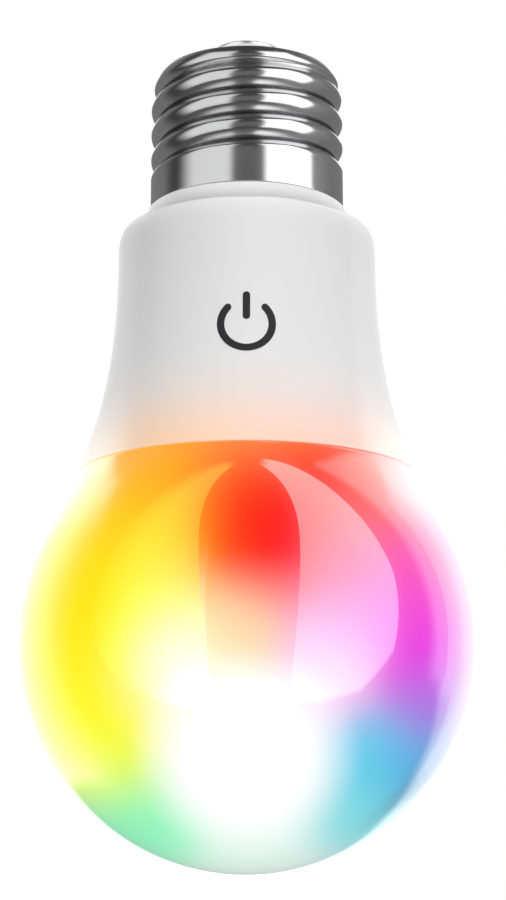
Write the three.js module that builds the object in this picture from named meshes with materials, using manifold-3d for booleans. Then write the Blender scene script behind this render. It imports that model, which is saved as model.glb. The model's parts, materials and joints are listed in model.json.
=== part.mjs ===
// A smart light bulb with a screw cap, a white housing and an opal globe lit by white and colour LEDs.
// Millimetres, +Z up. It hangs cap upwards: z = 0 is the flat face of the centre contact.

import * as THREE from "three";
import { mergeVertices } from "three/addons/utils/BufferGeometryUtils.js";
import Module from "manifold-3d";

const wasm = await Module();
wasm.setup();

// ---------- driving dimensions ----------

const overallLength = 113.45;
const globeRadius = 30;
const facets = 36;            // sides of a turned piece
const gap = 0.3;              // clearance between pieces that rest on each other

// Screw cap: a 27 mm Edison thread, seven turns to the inch
const capHeight = 24.05;      // contact face down to the housing's collar
const threadRadius = 13.2;
const threadDepth = 1.1;
const threadPitch = 25.4 / 7;
const threadFade = 1.6;       // the groove dies away over this height
const shellWall = 0.35;
const shellDrop = 4.35;       // contact face down to the shell's upper edge
const crownHeight = 5.1;      // the shell's upper edge draws in over this height
const crownDraw = 1.5;
const skirtHeight = 6.2;      // shell's lower edge up to the lowest groove
const contactRadius = 4.8;
const contactFlat = 3.4;
const contactRim = 1.1;
const stemRadius = 1.6;
const insulatorTopRadius = 5.8;
const insulatorDepth = 3.25;
const insulatorSkirt = 0.8;

// Housing
const collarLedge = 0.35;     // the collar stands out this far past the thread
const collarHeight = 3;
const collarFlare = 1.25;
const collarRound = 0.4;
const shoulderEdge = 0.45;    // flat ring between the collar's foot and the shoulder
const shoulderRadius = 17.5;
const shoulderRound = 4;
const flankPull = 23;         // length of the flank curve's upper handle
const neckPull = 9;           // length of its lower handle
const tangentAngle = 23.85;   // degrees above the globe's middle where the flank meets its round
const seamRise = 10;          // the joint between housing and diffuser is this far above that circle
const housingWall = 1.6;
const neckWall = 1.3;
const neckDrop = 3.7;         // shell's upper edge down to the top of the housing's neck

// Diffuser
const diffuserWall = 1.5;
const spigotHeight = 2.4;     // the lip that plugs into the housing
const spigotWall = 1.2;
const beadHeight = 0.8;

// Heat sink and light engine
const sinkDrop = 3;           // start of the flank down to the cup's rim
const sinkWall = 1;
const plateThickness = 1.5;
const padThickness = 0.5;
const padMargin = 1;
const ledBoardThickness = 1.6;
const ledBoardMargin = 0.8;   // room between the board's edge and the diffuser's lip
const whiteCount = 12;
const whiteInset = 3;         // board's edge in to the circle of white LEDs
const whiteSize = [2.8, 3.5, 0.7];
const colourCount = 6;
const colourInset = 9;
const colourSize = [2.8, 2.8, 0.9];
const colourStart = 205;      // degrees from +X
const colourStep = 26;
const screwInset = 7.8;
const screwY = 2.2;
const screwRadius = 1;
const screwHeadRadius = 1.9;
const screwHeadHeight = 1.3;
const screwLength = 6;

// Driver
const boardThickness = 1.6;
const boardDrop = 1.8;        // top of the neck down to the board's upper edge
const boardLift = 3.7;        // mounting plate up to the board's lower edge
const boardTaper = 2;
const boardMargin = 1.6;      // room between the board's narrow end and the neck
const boardSideMargin = 2.6;  // room between its wide end and the heat sink
const connectorSize = [7.6, 2.6];
const connectorMargin = 1;    // room round the connector in the plate and the boards
const leadGap = 0.4;          // components stand this far off the board
const inputHeight = 13;
const inputDrop = 1.1;        // a drop is from the board's upper edge down to the component
const outputRadius = 3.15;
const outputHeight = 11;
const outputX = 6.2;
const film = { size: [9, 4.4, 8.5], x: 2, drop: 10.1 };
const resistor = { radius: 1.4, length: 6.5, x: -4.6, drop: 3.1 };
const bridge = { size: [4.7, 1.7, 4], x: -5.4, drop: 12.6 };
const chip = { size: [5, 1.5, 4], margin: 3.1, lift: 4.6 };   // from the board's side and lower edge
const chokeRadius = 4;
const chokeHeight = 9;
const chokeX = -5.6;
const core = { width: 14, height: 12, depth: 5, leg: 3.6, yoke: 2.2, side: 1.8 };

// Radio module
const radioSize = [12, 1, 19];
const radioMargin = 0.6;      // room between the radio board and the choke
const radioLift = 9.2;        // mounting plate up to the radio board's upper edge
const shieldSize = [10, 2.2, 8];
const antennaWidth = 0.5;
const antennaThickness = 0.2;
const antennaTurns = 4;
const antennaPitch = 2.2;
const antennaHeight = 3;
const antennaMargin = 0.6;    // radio board's lower edge up to the aerial
const shieldDrop = 0.6;       // its upper edge down to the shield
const printGap = 0.1;         // between the aerial and the board's face

const wireRadius = 0.55;

// ---------- levels and radii that follow from them ----------

const globeCentre = globeRadius - overallLength;
const tangentHeight = globeRadius * Math.sin(THREE.MathUtils.degToRad(tangentAngle));
const tangentRadius = Math.sqrt(globeRadius ** 2 - tangentHeight ** 2);
const tangentSlope = tangentHeight / tangentRadius;
const globeTangent = globeCentre + tangentHeight;
const seamLevel = globeTangent + seamRise;

const shellTop = -shellDrop;
const collarTop = -capHeight;
const shellBottom = collarTop + gap;
const lastGroove = shellBottom + skirtHeight;
const threadStart = shellTop - threadFade - gap;
const threadEnd = lastGroove - threadPitch / 3;
const crownRadius = threadRadius - crownDraw;
const insulatorTop = -contactRim - gap;
const insulatorBottom = insulatorTop - insulatorDepth - insulatorSkirt;
const stemLength = gap - insulatorBottom;

const neckRadius = threadRadius - threadDepth - shellWall - gap;
const neckInner = neckRadius - neckWall;
const neckTop = shellTop - neckDrop;
const collarRadius = threadRadius + collarLedge;
const shoulderTop = collarTop - collarHeight;
const flankStart = shoulderTop - shoulderRound - gap;

const lipTop = seamLevel + spigotHeight;
const sinkTop = flankStart - sinkDrop;
const plateBottom = lipTop + gap + beadHeight + gap;
const plateLevel = plateBottom + plateThickness;
const padTop = plateBottom - gap;
const ledBoardTop = padTop - padThickness - gap;
const ledBoardBottom = ledBoardTop - ledBoardThickness;
const ledTop = ledBoardBottom - gap;

const boardFace = boardThickness / 2;
const boardTop = neckTop - boardDrop;
const boardStep = flankStart - 2 * gap;
const boardBottom = plateLevel + boardLift;
const wideTop = boardStep - boardTaper - gap;
const inputRadius = (neckInner - boardFace - leadGap - gap) / 2 - gap;
const radioY = boardFace + leadGap + 2 * chokeRadius + radioMargin + radioSize[1] / 2;
const radioTop = plateLevel + radioLift;

const flank = new THREE.CubicBezierCurve(
  new THREE.Vector2(shoulderRadius, flankStart),
  new THREE.Vector2(shoulderRadius, flankStart - flankPull),
  new THREE.Vector2(tangentRadius - tangentSlope * neckPull, globeTangent + neckPull),
  new THREE.Vector2(tangentRadius, globeTangent),
);

// Curve parameter of the flank at height z, by halving
function flankParameter(z) {
  let low = 0;
  let high = 1;
  for (let step = 0; step < 40; step++) {
    const middle = (low + high) / 2;
    if (flank.getPoint(middle).y > z) low = middle;
    else high = middle;
  }
  return (low + high) / 2;
}

// Points of the flank from one height to another, moved in level so that the wall has the given thickness
function flankPoints(from, to, inset, count) {
  const first = flankParameter(from);
  const last = flankParameter(to);
  const points = [];
  for (let i = 0; i <= count; i++) {
    const t = first + ((last - first) * i) / count;
    const tangent = flank.getTangent(t);
    const point = flank.getPoint(t);
    points.push(new THREE.Vector2(point.x + inset / tangent.y, point.y));
  }
  return points;
}

// Points of the round of the globe, from its tangent point to the axis, set in by a distance
function globePoints(inset, count) {
  const start = Math.atan2(tangentRadius, tangentHeight);
  const radius = globeRadius - inset;
  const points = [];
  for (let i = 0; i <= count; i++) {
    const angle = start + ((Math.PI - start) * i) / count;
    const x = i === count ? 0 : radius * Math.sin(angle);
    points.push(new THREE.Vector2(x, globeCentre + radius * Math.cos(angle)));
  }
  return points;
}

// Radius of the flank at height z, moved in by a wall thickness
function flankRadius(z, inset) {
  return flankPoints(z, z, inset, 1)[0].x;
}

// ---------- helpers ----------

const bulb = new THREE.Group();

function add(name, geometry, color, roughness, metalness = 0) {
  const mesh = new THREE.Mesh(geometry, new THREE.MeshStandardMaterial({ color, roughness, metalness }));
  mesh.name = name;
  bulb.add(mesh);
  return mesh;
}

function point(r, z) {
  return new THREE.Vector2(r, z);
}

// Turns a profile of (radius, height) points round the Z axis; the profile runs with its solid on the left
function turned(profile, sides = facets) {
  return new THREE.LatheGeometry(profile, sides).rotateX(Math.PI / 2);
}

// Extrudes a shape drawn in X and Y down from level top
function plate(shape, top, thickness) {
  const settings = { depth: thickness, bevelEnabled: false, curveSegments: 20 };
  const geometry = new THREE.ExtrudeGeometry(shape, settings);
  return geometry.translate(0, 0, top - thickness);
}

// Extrudes a shape drawn in X and Z through a thickness along Y, centred on y
function upright(shape, y, thickness) {
  const settings = { depth: thickness, bevelEnabled: false, curveSegments: 6 };
  const geometry = new THREE.ExtrudeGeometry(shape, settings);
  return geometry.rotateX(Math.PI / 2).translate(0, y + thickness / 2, 0);
}

function rectanglePath(target, x, y, width, height) {
  target.moveTo(x - width / 2, y - height / 2);
  target.lineTo(x + width / 2, y - height / 2);
  target.lineTo(x + width / 2, y + height / 2);
  target.lineTo(x - width / 2, y + height / 2);
  target.closePath();
  return target;
}

function box(width, depth, height, x, y, top) {
  return new THREE.BoxGeometry(width, depth, height).translate(x, y, top - height / 2);
}

function rod(radius, height, x, y, top, sides = 20) {
  return new THREE.CylinderGeometry(radius, radius, height, sides)
    .rotateX(Math.PI / 2)
    .translate(x, y, top - height / 2);
}

function toSolid(geometry) {
  const bare = geometry.clone();
  bare.deleteAttribute("normal");
  bare.deleteAttribute("uv");
  const merged = mergeVertices(bare, 1e-5);
  return new wasm.Manifold(
    new wasm.Mesh({
      numProp: 3,
      vertProperties: new Float32Array(merged.attributes.position.array),
      triVerts: new Uint32Array(merged.index.array),
    }),
  );
}

function cut(geometry, tools) {
  let solid = toSolid(geometry);
  for (const tool of tools) solid = solid.subtract(toSolid(tool));
  const mesh = solid.getMesh();
  const result = new THREE.BufferGeometry();
  result.setAttribute("position", new THREE.BufferAttribute(new Float32Array(mesh.vertProperties), 3));
  result.setIndex(new THREE.BufferAttribute(new Uint32Array(mesh.triVerts), 1));
  result.computeVertexNormals();
  return result;
}

// ---------- screw cap ----------

function smoothStep(value) {
  const t = THREE.MathUtils.clamp(value, 0, 1);
  return t * t * (3 - 2 * t);
}

// Depth of the rolled groove at height z and turn angle: a right-handed cosine wave, one pitch a turn
function grooveDepth(z, angle) {
  const phase = (z - lastGroove) / threadPitch - angle / (2 * Math.PI);
  const wave = 0.5 + 0.5 * Math.cos(2 * Math.PI * phase);
  const upper = smoothStep((threadStart + threadFade / 2 - z) / threadFade);
  const lower = smoothStep((z - threadEnd + threadFade / 2) / threadFade);
  return threadDepth * wave * upper * lower;
}

function screwShell() {
  const wall = [];
  const rows = 24;
  for (let i = 0; i <= rows; i++) {
    const z = shellTop + ((shellBottom - shellTop) * i) / rows;
    const rise = THREE.MathUtils.clamp((shellTop - z) / crownHeight, 0, 1);
    const radius = crownRadius + (threadRadius - crownRadius) * Math.sqrt(1 - (1 - rise) ** 2);
    wall.push(point(radius, z));
  }
  const inner = wall.map((p) => point(p.x - shellWall, p.y));
  const profile = [...inner, ...wall.toReversed(), inner[0]];
  const geometry = turned(profile);
  const position = geometry.attributes.position;
  for (let i = 0; i < position.count; i++) {
    const x = position.getX(i);
    const y = position.getY(i);
    const z = position.getZ(i);
    const radius = Math.hypot(x, y);
    const scale = 1 - grooveDepth(z, Math.atan2(x, -y)) / radius;
    position.setXY(i, x * scale, y * scale);
  }
  return geometry;
}

function centreContact() {
  return turned([
    point(0, -stemLength),
    point(stemRadius, -stemLength),
    point(stemRadius, -contactRim),
    point(contactRadius, -contactRim),
    point(contactRadius - 0.1, -contactRim * 0.6),
    point(contactRadius - 0.5, -contactRim * 0.2),
    point(contactFlat, 0),
    point(0, 0),
  ], 32);
}

function capInsulator() {
  const bore = stemRadius + gap;
  const outer = crownRadius - shellWall - gap;
  const bottom = insulatorBottom + insulatorSkirt;
  return turned([
    point(bore, insulatorBottom),
    point(outer - 0.4, insulatorBottom),
    point(outer - 0.2, bottom),
    point(insulatorTopRadius, insulatorTop),
    point(bore, insulatorTop),
    point(bore, insulatorBottom),
  ], 32);
}

add("centre_contact", centreContact(), 0xd9d9d4, 0.3, 1);
add("cap_insulator", capInsulator(), 0x17171a, 0.3);
add("screw_shell", screwShell(), 0xb9babd, 0.22, 1);

// ---------- housing and diffuser ----------

function housing() {
  const flareRadius = collarRadius + collarFlare;
  const outline = new THREE.Path();
  outline.moveTo(neckRadius, neckTop);
  outline.lineTo(neckRadius, collarTop);
  outline.lineTo(collarRadius - collarRound, collarTop);
  outline.quadraticCurveTo(collarRadius, collarTop, collarRadius + 0.05, collarTop - collarRound);
  outline.lineTo(flareRadius, shoulderTop);
  outline.lineTo(flareRadius + shoulderEdge, shoulderTop);
  outline.quadraticCurveTo(shoulderRadius, shoulderTop, shoulderRadius, shoulderTop - shoulderRound);
  const outer = [...outline.getPoints(5), ...flankPoints(flankStart, seamLevel, 0, 9)];
  const inner = [
    ...flankPoints(flankStart, seamLevel, housingWall, 9).toReversed(),
    point(neckInner + 1.6, shoulderTop - housingWall),
    point(neckInner, collarTop - 0.6),
    point(neckInner, neckTop),
  ];
  return turned([...outer, ...inner, outer[0]].toReversed());
}

function diffuser() {
  const rim = seamLevel - gap;
  const lipRadius = flankRadius(lipTop, housingWall + gap);
  const lipBase = flankRadius(rim, housingWall + gap);
  const outer = [...flankPoints(rim, globeTangent, 0, 4), ...globePoints(0, 14).slice(1)];
  const inner = [
    ...flankPoints(rim - 1, globeTangent, diffuserWall, 3),
    ...globePoints(diffuserWall, 13).slice(1),
  ];
  const lip = [
    point(lipBase - spigotWall, rim),
    point(lipRadius - spigotWall, lipTop),
    point(lipRadius, lipTop),
    point(lipBase, rim),
  ];
  return turned([...inner.toReversed(), ...lip, ...outer].toReversed());
}

function adhesiveBead() {
  const bottom = lipTop + gap;
  const top = bottom + beadHeight;
  const outer = flankRadius(top, housingWall + gap);
  const inner = outer - spigotWall;
  return turned([
    point(inner, bottom),
    point(outer, bottom),
    point(outer, top),
    point(inner, top),
    point(inner, bottom),
  ]);
}

add("housing", housing(), 0xebebeb, 0.35);
add("diffuser", diffuser(), 0xf6e8f2, 0.12);
add("adhesive_bead", adhesiveBead(), 0xdedede, 0.6);

// ---------- heat sink and light engine ----------

const ledBoardRadius = flankRadius(lipTop, housingWall + gap) - spigotWall - ledBoardMargin;
const whiteCircle = ledBoardRadius - whiteInset;
const colourCircle = ledBoardRadius - colourInset;
const screwX = ledBoardRadius - screwInset;
const slotX = radioSize[0] + 2 * gap;
const slotY = radioSize[1] + 2 * gap;
const windowX = connectorSize[0] + 2 * connectorMargin;
const windowY = connectorSize[1] + 2 * connectorMargin;
const screwHole = screwRadius + gap;

function heatSink() {
  const clearance = housingWall + gap;
  const outer = flankPoints(sinkTop, plateBottom, clearance, 7);
  const inner = flankPoints(sinkTop, plateLevel, clearance + sinkWall, 7);
  const cup = turned([
    point(0, plateBottom),
    ...outer.toReversed(),
    ...inner,
    point(0, plateLevel),
  ]);
  const reach = plateThickness + 4;
  const top = plateLevel + 2;
  return cut(cup, [
    box(slotX, slotY, reach, 0, radioY, top),
    box(windowX, windowY, reach, 0, 0, top),
    rod(screwHole, reach, screwX, screwY, top, 16),
    rod(screwHole, reach, -screwX, screwY, top, 16),
  ]);
}

// Disc with the slot for the radio board, the window for the connector and two screw holes
function engineDisc(radius, top, thickness) {
  const shape = new THREE.Shape();
  shape.absarc(0, 0, radius, 0, Math.PI * 2);
  shape.holes.push(rectanglePath(new THREE.Path(), 0, radioY, slotX, slotY));
  shape.holes.push(rectanglePath(new THREE.Path(), 0, 0, windowX, windowY));
  for (const side of [-1, 1]) {
    const hole = new THREE.Path();
    hole.absarc(side * screwX, screwY, screwHole, 0, Math.PI * 2);
    shape.holes.push(hole);
  }
  return plate(shape, top, thickness);
}

function boardScrew() {
  const headTop = ledBoardBottom - gap;
  const headBottom = headTop - screwHeadHeight;
  return turned([
    point(0, headBottom),
    point(screwHeadRadius * 0.7, headBottom),
    point(screwHeadRadius, headBottom + screwHeadHeight * 0.5),
    point(screwHeadRadius, headTop),
    point(screwRadius, headTop),
    point(screwRadius, headTop + screwLength),
    point(0, headTop + screwLength),
  ], 16);
}

// LED package with its square body, turned to face out along the circle it sits on
function ledPackage(size, circle, degrees) {
  const [width, length, height] = size;
  const angle = THREE.MathUtils.degToRad(degrees);
  return new THREE.BoxGeometry(length, width, height)
    .translate(circle, 0, ledTop - height / 2)
    .rotateZ(angle);
}

add("heat_sink", heatSink(), 0xb4b6b9, 0.4, 1);
add("thermal_pad", engineDisc(ledBoardRadius - padMargin, padTop, padThickness), 0x8fa3b5, 0.8);
add("led_board", engineDisc(ledBoardRadius, ledBoardTop, ledBoardThickness), 0xf2f2ee, 0.45);
for (const [name, side] of [["board_screw_left", -1], ["board_screw_right", 1]]) {
  add(name, boardScrew(), 0x9a9b9e, 0.3, 1).position.set(side * screwX, screwY, 0);
}
for (let i = 0; i < whiteCount; i++) {
  const degrees = (360 / whiteCount) * (i + 0.5);
  add(`white_led_${i + 1}`, ledPackage(whiteSize, whiteCircle, degrees), 0xf3e9b0, 0.35);
}
for (let i = 0; i < colourCount; i++) {
  const degrees = colourStart + colourStep * i;
  add(`colour_led_${i + 1}`, ledPackage(colourSize, colourCircle, degrees), 0xf4f4f4, 0.25);
}

// ---------- driver ----------

const sinkInner = flankRadius(sinkTop, housingWall + gap + sinkWall);
const boardNarrow = 2 * (neckInner - boardMargin);
const boardWide = 2 * (sinkInner - boardSideMargin);

// Middle of a component of the given depth that stands on one face of the board
function onFront(depth) {
  return -boardFace - leadGap - depth / 2;
}

function onBack(depth) {
  return boardFace + leadGap + depth / 2;
}

function driverBoard() {
  const shape = new THREE.Shape();
  shape.moveTo(-boardNarrow / 2, boardTop);
  shape.lineTo(-boardNarrow / 2, boardStep);
  shape.lineTo(-boardWide / 2, boardStep - boardTaper);
  shape.lineTo(-boardWide / 2, boardBottom);
  shape.lineTo(boardWide / 2, boardBottom);
  shape.lineTo(boardWide / 2, boardStep - boardTaper);
  shape.lineTo(boardNarrow / 2, boardStep);
  shape.lineTo(boardNarrow / 2, boardTop);
  shape.closePath();
  return upright(shape, 0, boardThickness);
}

// Aluminium can with its crimp groove near the foot, standing along Z
function capacitor(radius, height, x, y, top) {
  const bottom = top - height;
  const groove = height * 0.14;
  return turned([
    point(0, bottom),
    point(radius * 0.94, bottom),
    point(radius, bottom + groove * 0.4),
    point(radius, bottom + groove * 0.8),
    point(radius * 0.9, bottom + groove),
    point(radius, bottom + groove * 1.2),
    point(radius, top - radius * 0.12),
    point(radius * 0.9, top),
    point(0, top),
  ], 20).translate(x, y, 0);
}

// Ferrite drum with flanges and a wound waist
function drumInductor(radius, height, x, y, top) {
  const bottom = top - height;
  const flange = height * 0.15;
  return turned([
    point(0, bottom),
    point(radius, bottom),
    point(radius, bottom + flange),
    point(radius * 0.82, bottom + flange),
    point(radius * 0.82, top - flange),
    point(radius, top - flange),
    point(radius, top),
    point(0, top),
  ], 20).translate(x, y, 0);
}

const coreWindow = (core.width - core.leg) / 2 - core.side;
const woundX = core.leg + 2 * (coreWindow - gap);
const woundWall = (woundX - core.leg) / 2 - gap;
const woundY = core.depth + 2 * gap + 2 * woundWall;
const coreY = onFront(woundY);

function transformerCore() {
  const windowHeight = core.height - 2 * core.yoke;
  const windowX = core.leg / 2 + coreWindow / 2;
  const opening = (x) => box(coreWindow, core.depth + 2, windowHeight, x, coreY, wideTop - core.yoke);
  const block = box(core.width, core.depth, core.height, 0, coreY, wideTop);
  return cut(block, [opening(-windowX), opening(windowX)]);
}

function transformerWinding() {
  const height = core.height - 2 * core.yoke - 2 * gap;
  const shape = rectanglePath(new THREE.Shape(), 0, coreY, woundX, woundY);
  shape.holes.push(rectanglePath(new THREE.Path(), 0, coreY, core.leg + 2 * gap, core.depth + 2 * gap));
  return plate(shape, wideTop - core.yoke - gap, height);
}

const chipX = chip.margin - boardWide / 2;
const chipTop = boardBottom + chip.lift;
const [filmWidth, filmDepth, filmHeight] = film.size;
const [bridgeWidth, bridgeDepth, bridgeHeight] = bridge.size;
const [chipWidth, chipDepth, chipHeight] = chip.size;
const inputCan = capacitor(inputRadius, inputHeight, 0, onFront(2 * inputRadius), boardTop - inputDrop);
const outputCan = capacitor(outputRadius, outputHeight, outputX, onBack(2 * outputRadius), wideTop);
const filmBox = box(filmWidth, filmDepth, filmHeight, film.x, onBack(filmDepth), boardTop - film.drop);
const resistorRod = rod(
  resistor.radius, resistor.length, resistor.x, onBack(2 * resistor.radius), boardTop - resistor.drop, 14,
);
const bridgeTop = boardTop - bridge.drop;
add("driver_board", driverBoard(), 0x2f6a45, 0.5);
add("input_capacitor", inputCan, 0x22262e, 0.35, 0.3);
add("output_capacitor", outputCan, 0x22262e, 0.35, 0.3);
add("film_capacitor", filmBox, 0xd8b23c, 0.4);
add("fusible_resistor", resistorRod, 0x6d8f5a, 0.5);
add(
  "bridge_rectifier",
  box(bridgeWidth, bridgeDepth, bridgeHeight, bridge.x, onBack(bridgeDepth), bridgeTop),
  0x1c1c1f, 0.45,
);
const choke = drumInductor(chokeRadius, chokeHeight, chokeX, onBack(2 * chokeRadius), wideTop);
add("choke_inductor", choke, 0x2e2f33, 0.5);
add("transformer_core", transformerCore(), 0x3a3b40, 0.55);
add("transformer_winding", transformerWinding(), 0xc98f2f, 0.45);
add("driver_chip", box(chipWidth, chipDepth, chipHeight, chipX, onFront(chipDepth), chipTop), 0x1c1c1f, 0.45);
const connectorTop = boardBottom - gap;
const connectorHeight = connectorTop - ledBoardTop;
add("board_connector", box(...connectorSize, connectorHeight, 0, 0, connectorTop), 0xe8e3d2, 0.5);

// ---------- radio module ----------

// Printed aerial: a strip that runs to and fro along the board's lower end
function antenna() {
  const run = antennaTurns * antennaPitch;
  const left = -run / 2;
  const bottom = radioTop - radioSize[2] + antennaMargin;
  const top = bottom + antennaHeight;
  const upper = [point(left, bottom)];
  const lower = [point(left + antennaWidth, bottom)];
  for (let i = 0; i < antennaTurns; i++) {
    const x = left + i * antennaPitch;
    const half = antennaPitch / 2;
    upper.push(point(x, top), point(x + half + antennaWidth, top));
    lower.push(point(x + antennaWidth, top - antennaWidth), point(x + half, top - antennaWidth));
    if (i < antennaTurns - 1) {
      upper.push(point(x + half + antennaWidth, bottom + antennaWidth));
      upper.push(point(x + antennaPitch, bottom + antennaWidth));
      lower.push(point(x + half, bottom), point(x + antennaPitch + antennaWidth, bottom));
    } else {
      upper.push(point(x + half + antennaWidth, bottom));
      lower.push(point(x + half, bottom));
    }
  }
  const shape = new THREE.Shape([...upper, ...lower.toReversed()]);
  const face = radioY - radioSize[1] / 2;
  return upright(shape, face - printGap - antennaThickness / 2, antennaThickness);
}

add("radio_board", box(...radioSize, 0, radioY, radioTop), 0x1f3f6b, 0.45);
add(
  "radio_shield",
  box(...shieldSize, 0, radioY + radioSize[1] / 2 + gap + shieldSize[1] / 2, radioTop - shieldDrop),
  0xc4c6c8, 0.3, 1,
);
add("antenna", antenna(), 0xc78a3a, 0.35, 1);

// ---------- wires ----------

// Insulated wire: a round section carried along a smooth curve through the points
function wire(points) {
  const curve = new THREE.CatmullRomCurve3(points.map((p) => new THREE.Vector3(...p)));
  const section = new THREE.Shape();
  section.absarc(0, 0, wireRadius, 0, Math.PI * 2);
  return new THREE.ExtrudeGeometry(section, {
    steps: 12,
    curveSegments: 4,
    bevelEnabled: false,
    extrudePath: curve,
  });
}

const wireBack = boardFace + leadGap + wireRadius;
const wireStart = -stemLength - gap;
add("live_wire", wire([
  [0, 0, wireStart],
  [1, 0.6, wireStart - 1.5],
  [3, wireBack, boardTop - 0.6],
  [3, wireBack, boardTop - 3],
]), 0x8a2d22, 0.5);
add("neutral_wire", wire([
  [-neckRadius + 0.4, 0, neckTop + 1.2],
  [-neckRadius + 2.8, 1, neckTop + 0.9],
  [-6.2, wireBack, boardTop - 0.4],
  [-6, wireBack, boardTop - 2.4],
]), 0xe6e6e6, 0.5);

export default bulb;
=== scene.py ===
import json
import math

import bpy
import numpy as np
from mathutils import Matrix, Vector

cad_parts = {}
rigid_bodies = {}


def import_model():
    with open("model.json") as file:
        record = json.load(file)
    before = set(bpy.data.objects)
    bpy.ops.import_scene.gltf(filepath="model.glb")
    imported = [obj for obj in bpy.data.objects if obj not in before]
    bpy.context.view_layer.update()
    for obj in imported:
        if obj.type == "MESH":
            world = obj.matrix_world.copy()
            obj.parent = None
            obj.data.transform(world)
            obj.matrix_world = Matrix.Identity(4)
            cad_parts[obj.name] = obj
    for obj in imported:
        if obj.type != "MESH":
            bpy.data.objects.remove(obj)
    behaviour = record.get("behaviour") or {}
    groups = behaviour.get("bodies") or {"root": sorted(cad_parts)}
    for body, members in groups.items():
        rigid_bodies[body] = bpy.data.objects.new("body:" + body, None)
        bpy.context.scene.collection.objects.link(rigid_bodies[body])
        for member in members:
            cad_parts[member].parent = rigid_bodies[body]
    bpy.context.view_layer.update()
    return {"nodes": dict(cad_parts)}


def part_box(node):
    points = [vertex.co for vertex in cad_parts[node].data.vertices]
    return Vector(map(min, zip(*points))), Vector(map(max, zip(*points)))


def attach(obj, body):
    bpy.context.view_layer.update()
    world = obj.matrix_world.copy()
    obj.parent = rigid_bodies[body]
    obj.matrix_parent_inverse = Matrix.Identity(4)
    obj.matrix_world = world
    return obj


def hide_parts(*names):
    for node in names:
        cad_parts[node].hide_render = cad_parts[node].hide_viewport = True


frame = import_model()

mm = 0.001
print("frame loaded:", len(frame["nodes"]), "nodes")

def makeMesh(name, points, quads, tris=None, sharpAngle=35):
    # points (n,3) in millimetres, quads (m,4) and tris (k,3) as index arrays
    mesh = bpy.data.meshes.new(name)
    quads = np.asarray(quads, np.int32).reshape(-1, 4)
    tris = np.zeros((0, 3), np.int32) if tris is None else np.asarray(tris, np.int32).reshape(-1, 3)
    loops = np.concatenate([quads.ravel(), tris.ravel()])
    sizes = np.concatenate([np.full(len(quads), 4), np.full(len(tris), 3)]).astype(np.int32)
    starts = np.concatenate([[0], np.cumsum(sizes)[:-1]]).astype(np.int32)
    mesh.vertices.add(len(points))
    mesh.vertices.foreach_set("co", (np.asarray(points, np.float64) * mm).astype(np.float32).ravel())
    mesh.loops.add(len(loops))
    mesh.loops.foreach_set("vertex_index", loops)
    mesh.polygons.add(len(sizes))
    mesh.polygons.foreach_set("loop_start", starts)
    mesh.polygons.foreach_set("use_smooth", np.ones(len(sizes), bool))
    mesh.update(calc_edges=True)
    mesh.validate()
    mesh.set_sharp_from_angle(angle=math.radians(sharpAngle))
    piece = bpy.data.objects.new(name, mesh)
    bpy.context.scene.collection.objects.link(piece)
    return piece

def ringGrid(rows, columns):
    # quads of a grid of rows x columns points whose columns close round on themselves
    r, c = np.meshgrid(np.arange(rows - 1), np.arange(columns), indexing="ij")
    nextC = (c + 1) % columns
    return np.stack([r * columns + c, (r + 1) * columns + c,
                     (r + 1) * columns + nextC, r * columns + nextC], -1).reshape(-1, 4)

def revolve(name, profile, steps=256, closed=False, shape=None, sharpAngle=35):
    # A profile of (radius, height) carried round Z: point = (r sin a, -r cos a, h), so a = 0 is the front.
    # The profile has the solid on its right. closed joins its last row to its first; otherwise both ends
    # lie on the axis and become one point each. shape(r, h, a) may move the radius.
    profile = np.asarray(profile, float)
    body = profile if closed else profile[1:-1]
    angle = np.linspace(0, 2 * np.pi, steps, endpoint=False)
    r = np.repeat(body[:, :1], steps, 1)
    h = np.repeat(body[:, 1:], steps, 1)
    a = np.repeat(angle[None], len(body), 0)
    if shape is not None:
        r = shape(r, h, a)
    points = np.stack([r * np.sin(a), -r * np.cos(a), h], -1).reshape(-1, 3)
    quads = ringGrid(len(body), steps)
    if closed:
        last = (len(body) - 1) * steps
        c = np.arange(steps)
        n = (c + 1) % steps
        quads = np.concatenate([quads, np.stack([last + c, c, n, last + n], -1)])
        return makeMesh(name, points, quads, None, sharpAngle)
    c = np.arange(steps)
    n = (c + 1) % steps
    first, final = len(points), len(points) + 1
    last = (len(body) - 1) * steps
    points = np.concatenate([points, [[0, 0, profile[0, 1]], [0, 0, profile[-1, 1]]]])
    tris = np.concatenate([np.stack([np.full(steps, first), c, n], -1),
                           np.stack([last + c, np.full(steps, final), last + n], -1)])
    return makeMesh(name, points, quads, tris, sharpAngle)

def roundedPath(corners, arcSteps=8):
    # corners are (r, h, fillet radius): each corner becomes an arc tangent to both of its sides
    out = []
    count = len(corners)
    for i, (x, y, fillet) in enumerate(corners):
        here = np.array([x, y], float)
        if fillet <= 0 or i in (0, count - 1):
            out.append(here[None])
            continue
        before = np.array(corners[i - 1][:2], float) - here
        after = np.array(corners[i + 1][:2], float) - here
        lb, la = np.linalg.norm(before), np.linalg.norm(after)
        before, after = before / lb, after / la
        half = math.acos(float(np.clip(before @ after, -1, 1))) / 2
        reach = min(fillet / math.tan(half), lb * 0.49, la * 0.49)
        radius = reach * math.tan(half)
        middle = here + (before + after) / np.linalg.norm(before + after) * radius / math.sin(half)
        start = here + before * reach - middle
        end = here + after * reach - middle
        a0 = math.atan2(start[1], start[0])
        sweep = (math.atan2(end[1], end[0]) - a0 + math.pi) % (2 * math.pi) - math.pi
        t = a0 + sweep * np.linspace(0, 1, arcSteps + 1)
        out.append(middle + radius * np.stack([np.cos(t), np.sin(t)], -1))
    return np.concatenate(out)

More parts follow.
